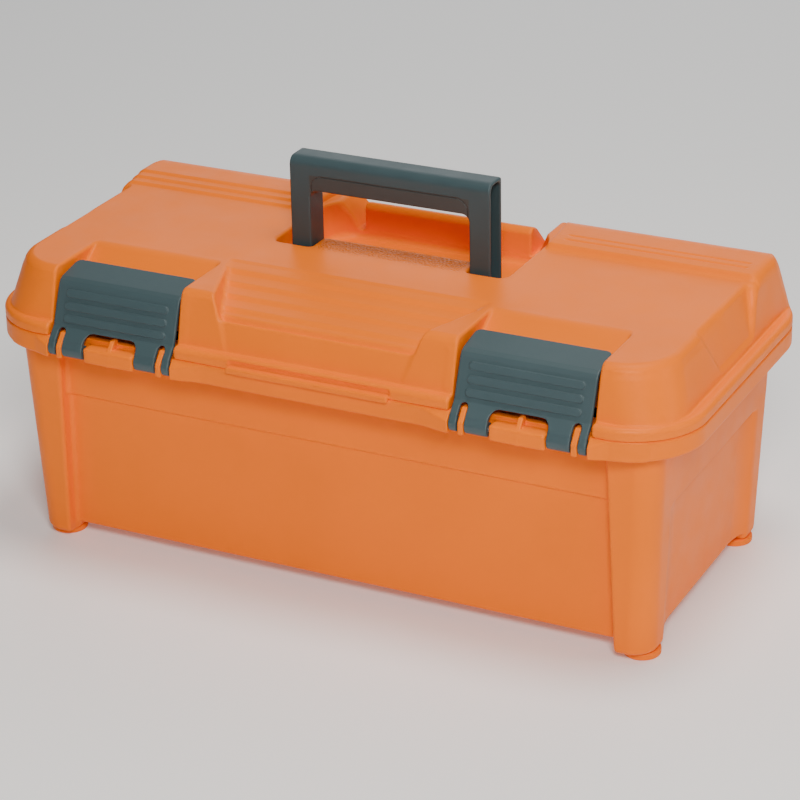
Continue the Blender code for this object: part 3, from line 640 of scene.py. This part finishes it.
def latch_field(x, y, z):
    x = x - LATCH_X
    ax = np.abs(x)
    plate = strip(y, z, PLATE) - PLATE_HALF_THICK
    a, b = y - LATCH_AXIS[0], z - LATCH_AXIS[1]
    shape = either(plate, np.hypot(a, b) - 4.38, 1.6)
    # back corners of the lip are rounded in plan
    outline = np.maximum(rect(ax, y + 140.0, LATCH_HALF - 0.1, 140.0 - 78.4, 4.5), ax - LATCH_HALF + 0.1)
    shape = both(shape, outline, 0.9)
    slot = rect(ax - SLOT_X, z - 140.0, 2.5, 16.9, 2.4)
    window = rect(x, z - 135.0, 18.4, 21.4, 5.5)
    front = y + 104.0
    shape = minus(shape, np.maximum(slot, front), 0.7)
    shape = minus(shape, np.maximum(window, front), 0.7)
    # three raised ribs across the lower plate
    a, b = y - RIB_START[0], z - RIB_START[1]
    along = (a * RIB_RUN[0] + b * RIB_RUN[1]) / math.hypot(*RIB_RUN)
    off = (a * -RIB_RUN[1] + b * RIB_RUN[0]) / math.hypot(*RIB_RUN)
    ribs = None
    for middle in (5.6, 13.4, 21.2):
        stadium = np.hypot(np.maximum(ax - 33.4, 0), along - middle) - 2.35
        rib = both(stadium, off - 1.25, 0.55)
        ribs = rib if ribs is None else np.minimum(ribs, rib)
    return either(shape, np.maximum(ribs, -off - 1.6), 0.35)


for side, node in ((1, "latch_right"), (-1, "latch_left")):
    field = latch_field if side > 0 else (lambda x, y, z: latch_field(-x, y, z))
    xs = LATCH_X + lines(-43.6, (-31.5, 0.55), (-19.5, 1.4), (-16.5, 0.5), (16.5, 2.2), (19.5, 0.5),
                         (31.5, 1.4), (43.6, 0.55))
    skin(node + "_body", field, xs if side > 0 else -xs[::-1],
         lines(-121, (-77, 0.5)), lines(138.5, (190.5, 0.5)),
         60000, node, "slate_plastic", slate, node)


# ---- carrying handle ----
# the handle's outline is drawn as a rectangle about this height and cut off at the legs' lower ends
HANDLE_MIDDLE_Z = 150.0
BAR_LOW = 226.8
LEG_ROUNDING = 9.0
HANDLE_WALL = 2.2


def handle_field(x, y, z):
    ax = np.abs(x)
    top = HANDLE_HIGH[2]
    up, half_z = z - HANDLE_MIDDLE_Z, top - HANDLE_MIDDLE_Z
    outline = rect(ax, up, HANDLE_HALF, half_z, 1.6)
    inner = rect(ax, up, HANDLE_INNER, BAR_LOW - HANDLE_MIDDLE_Z, 5.0)
    half_y = (HANDLE_HIGH[1] - HANDLE_LOW[1]) / 2
    from_middle = y - (HANDLE_HIGH[1] + HANDLE_LOW[1]) / 2
    profile = np.where(from_middle < 0, rect(from_middle, up, half_y, half_z, 6.5),
                       rect(from_middle, up, half_y, half_z, 2.5))
    shape = both(minus(outline, inner), profile, 1.1)
    a, b = y - HANDLE_AXIS[0], z - HANDLE_AXIS[1]
    shape = both(shape, np.where(b < 0, np.hypot(a, b), np.abs(a)) - LEG_ROUNDING, 0.6)
    # channels down the outer sides of the legs, joined by the hollow inside the bar
    hollow = rect(from_middle, z - (top - HANDLE_WALL - 40.0), half_y - HANDLE_WALL, 40.0, 4.3)
    channel = both(hollow, np.minimum(56.4 - ax, 231.0 - z), 0.6)
    shape = minus(shape, both(channel, 176.0 - z, 2.0), 0.5)
    # the grip below its line stands back a little
    lower = minus(rect(x, z - 180.0, 53.2, GRIP_LINE_Z - 180.0, 8.0), rect(x, z - 180.0, 52.6, 56.2, 7.4))
    shape = minus(shape, np.maximum(lower, half_y - 0.45 - np.abs(from_middle)), 0.25)
    pin = rod(ax, a, b, 40.0, 65.2, LEG_HOLE_RADIUS, 0.1)
    return minus(shape, pin)


skin("handle_body", handle_field,
     mirrored(lines(0, (44, 2.0), (69, 0.55))),
     lines(HANDLE_LOW[1] - 1.5, (HANDLE_HIGH[1] + 1.5, 0.5)),
     lines(HANDLE_LOW[2] - 1.5, (184, 0.6), (222, 1.2), (HANDLE_HIGH[2] + 1.5, 0.5)),
     90000, "handle", "slate_plastic", slate_handle, "handle")


# ---- feet ----
def foot_field(x, y, z):
    across = np.hypot(np.abs(x) - FOOT_X, np.abs(y) - FOOT_Y)
    pad = both(across - FOOT_RADIUS + 0.05, between(z, 0.05, 4.65), 1.3)
    dimple = np.hypot(across, z + 5.5) - 6.6
    return minus(pad, dimple, 0.4)


for end, forward in (("front", -1), ("rear", 1)):
    for hand, across in (("left", -1), ("right", 1)):
        xs = across * FOOT_X + lines(-13, (13, 0.6))
        ys = forward * FOOT_Y + lines(-13, (13, 0.6))
        skin(f"foot_{end}_{hand}_pad", foot_field, xs, ys, lines(-1, (6, 0.5)),
             9000, "tub", "orange_plastic", orange, f"foot_{end}_{hand}")


# ---- tray ----
TRAY_WALL = 2.0
DIVIDER_SPANS = [span_mm(f"tray_divider_{number}") for number in (1, 2, 3, 4)]
DIVIDERS = [(low[0] + high[0]) / 2 for low, high in DIVIDER_SPANS]
DIVIDER_HALF_Y, DIVIDER_TOP = DIVIDER_SPANS[0][1][1:]


def tray_field(x, y, z):
    up = z - TRAY_LOW[2]
    half_x, half_y = TRAY_HIGH[0] - 2.0 + up * 0.056, TRAY_HIGH[1] - 2.0 + up * 0.056
    solid = both(rect(x, y, half_x, half_y, 10.0), between(z, TRAY_LOW[2], TRAY_HIGH[2]), 1.6)
    room = rect(x, y, half_x - TRAY_WALL, half_y - TRAY_WALL, 8.0)
    room = both(room, TRAY_LOW[2] + TRAY_WALL - z, 2.0)
    body = minus(solid, room, 0.6)
    for middle in DIVIDERS:
        off = np.abs(np.abs(x - middle) - 1.85)
        guide = np.maximum(off - 0.72, np.maximum(between(np.abs(y), DIVIDER_HALF_Y - 2.8, half_y - 1.0),
                                                  between(z, TRAY_LOW[2] + 1.0, DIVIDER_TOP)))
        body = either(body, guide, 0.3)
    return body


def near_dividers():
    """Grid lines along the tray, close together where a divider's guides stand."""
    runs = []
    for middle in sorted(abs(d) for d in DIVIDERS if d > 0):
        runs += [(middle - 4, 4.0), (middle + 4, 0.4)]
    return lines(0, *runs, (194, 4.0), (203, 0.55))


skin("tray_body", tray_field, mirrored(near_dividers()),
     mirrored(lines(0, (67, 4.0), (TRAY_HIGH[1] + 1.5, 0.55))),
     lines(TRAY_LOW[2] - 1.5, (110, 0.55), (133, 2.5), (TRAY_HIGH[2] + 1.5, 0.5)),
     60000, "tray", "charcoal_plastic", charcoal, "tray")

for number, (low, high) in enumerate(DIVIDER_SPANS, 1):
    def divider_field(x, y, z, low=low, high=high):
        plate = block(x, y, z, low + 0.02, high - 0.02, 0.6)
        dip = np.hypot(y, z - high[2] - 14.0) - 22.0
        return minus(plate, dip, 0.5)

    skin(f"tray_divider_{number}_plate", divider_field,
         lines(low[0] - 0.6, (high[0] + 0.6, 0.25)),
         lines(low[1] - 1, (low[1] + 1.5, 0.4), (high[1] - 1.5, 1.5), (high[1] + 1, 0.4)),
         lines(low[2] - 1, (low[2] + 1.5, 0.4), (high[2] + 1, 0.7)),
         6000, "tray", "charcoal_plastic", charcoal, f"tray_divider_{number}")


def grip_field(x, y, z):
    middle_z, half_z = (GRIP_LOW[2] + GRIP_HIGH[2]) / 2, (GRIP_HIGH[2] - GRIP_LOW[2]) / 2
    plate = both(rect(x, z - middle_z, GRIP_HIGH[0], half_z, 3.0), np.abs(y) - GRIP_HIGH[1], 0.9)
    hole = rect(x, z - 139.0, 45.0, 11.0, 8.0)
    return minus(plate, hole, 0.9)


skin("tray_handle_plate", grip_field,
     mirrored(lines(0, (34, 2.0), (70, 0.7))), lines(-2.5, (2.5, 0.4)),
     lines(GRIP_LOW[2] - 1, (GRIP_HIGH[2] + 1, 0.6)),
     20000, "tray", "charcoal_plastic", charcoal, "tray_handle")


# ---- pins ----
def add_pin(node, body):
    """A steel rod along x in the place of a CAD pin."""
    low, high = span_mm(node)
    middle, radius = (low + high) / 2, (high[2] - low[2]) / 2

    def pin_field(x, y, z):
        return rod(x, y - middle[1], z - middle[2], low[0] + 0.01, high[0] - 0.01, radius, 0.35)

    round_it = lines(-radius - 0.6, (radius + 0.6, 0.2))
    skin(node + "_rod", pin_field,
         lines(low[0] - 0.8, (low[0] + 1.2, 0.2), (high[0] - 1.2, 2.5), (high[0] + 0.8, 0.2)),
         middle[1] + round_it, middle[2] + round_it,
         6000, body, "steel", steel, node)


for hand in ("left", "right"):
    add_pin("latch_pin_" + hand, "tub")
    add_pin("hinge_pin_" + hand, "tub")
    add_pin("handle_pin_" + hand, "lid")


# ---- floor, light and camera ----
# from here on places and sizes are metres; the camera's lens and sensor are millimetres
FLOOR_HALF = 6

floor_paint, _, floor_shader = new_material("floor_paint")
floor_shader.inputs["Base Color"].default_value = (0.93, 0.94, 0.96, 1.0)
floor_shader.inputs["Roughness"].default_value = 0.9
floor_shader.inputs["Emission Color"].default_value = (1.0, 1.0, 1.0, 1.0)
floor_shader.inputs["Emission Strength"].default_value = 0.12
floor_mesh = bpy.data.meshes.new("floor")
floor_mesh.from_pydata([(FLOOR_HALF * x, FLOOR_HALF * y, 0) for x, y in ((-1, -1), (1, -1), (1, 1), (-1, 1))],
                       [], [(0, 1, 2, 3)])
floor_mesh.materials.append(floor_paint)
floor = bpy.data.objects.new("floor", floor_mesh)
bpy.context.scene.collection.objects.link(floor)


def add_light(name, place, target, size, power, colour=(1.0, 1.0, 1.0)):
    """A round soft lamp at place, turned towards target."""
    data = bpy.data.lights.new(name, "AREA")
    data.shape = "DISK"
    data.size = size
    data.energy = power
    data.color = colour
    lamp = bpy.data.objects.new(name, data)
    lamp.location = place
    lamp.rotation_euler = (Vector(target) - Vector(place)).to_track_quat("-Z", "Y").to_euler()
    bpy.context.scene.collection.objects.link(lamp)


WARM = (1.0, 0.97, 0.91)
add_light("key", (0.8, -1.35, 1.25), (0.05, 0.0, 0.1), 0.5, 25.0, WARM)
add_light("back", (-0.5, 2.1, 1.1), (0.0, 0.0, 0.15), 2.6, 20.0)
add_light("side", (2.0, 0.1, 0.7), (0.0, 0.0, 0.1), 0.8, 5.0, WARM)
add_light("top", (0.3, 0.0, 1.8), (0.0, 0.0, 0.1), 0.7, 18.0, WARM)

world = bpy.data.worlds.new("studio")
world.use_nodes = True
background = world.node_tree.nodes["Background"]
background.inputs["Color"].default_value = (*WARM, 1.0)
background.inputs["Strength"].default_value = 0.08
bpy.context.scene.world = world

# where the camera stands as seen from its target, how far away, and its tilt to one side
AZIMUTH, ELEVATION, ROLL = (math.radians(v) for v in (26.664, 24.563, -1.147))
TARGET = Vector((0.00245, 0.0, 0.09365))
DISTANCE = 1.73414
back = Vector((math.sin(AZIMUTH) * math.cos(ELEVATION),
               -math.cos(AZIMUTH) * math.cos(ELEVATION),
               math.sin(ELEVATION)))
right = Vector((0, 0, 1)).cross(back).normalized()
upward = back.cross(right)
turned_x = math.cos(ROLL) * right + math.sin(ROLL) * upward
turned_y = -math.sin(ROLL) * right + math.cos(ROLL) * upward
turn = Matrix((turned_x, turned_y, back)).transposed().to_4x4()
camera_data = bpy.data.cameras.new("camera")
camera_data.sensor_width = 36.0
camera_data.lens = 124.603
camera = bpy.data.objects.new("camera", camera_data)
camera.matrix_world = Matrix.Translation(TARGET + DISTANCE * back) @ turn
bpy.context.scene.collection.objects.link(camera)
bpy.context.scene.camera = camera
